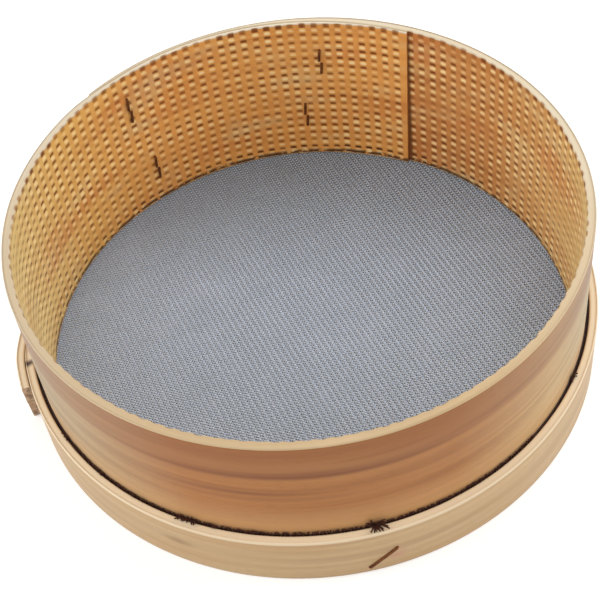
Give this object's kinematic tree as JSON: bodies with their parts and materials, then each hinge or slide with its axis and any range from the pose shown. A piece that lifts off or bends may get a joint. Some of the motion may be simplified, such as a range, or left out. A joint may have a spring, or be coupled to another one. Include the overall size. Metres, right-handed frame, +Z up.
{
  "type": "tamis drum sieve",
  "caption": "Round wooden drum sieve: a bent, lapped drum hoop open at the top, with a woven wire cloth drawn over its lower end and held by a narrow bent clamp band.",
  "frame": {"origin": "on the drum's axis, level with the clamp band's lower edge, which the sieve stands on", "axes": "+Z up the drum's axis, out of the open end; -Y towards the side with the slanting staple; the drum's inner seam at 59 degrees and the band's lap at about 190 degrees, anticlockwise from +X seen from above"},
  "size_m": [0.2216, 0.2192, 0.073],
  "materials": {
    "drum_wood": "satin",
    "band_wood": "satin",
    "wire_cloth": "satin",
    "staple_wire": "satin"
  },
  "bodies": {
    "root": {"drum_hoop": "drum_wood", "clamp_band": "band_wood", "wire_cloth": "wire_cloth", "drum_staples": "staple_wire", "lap_staple": "staple_wire", "tack_staple": "staple_wire"}
  },
  "joints": []
}
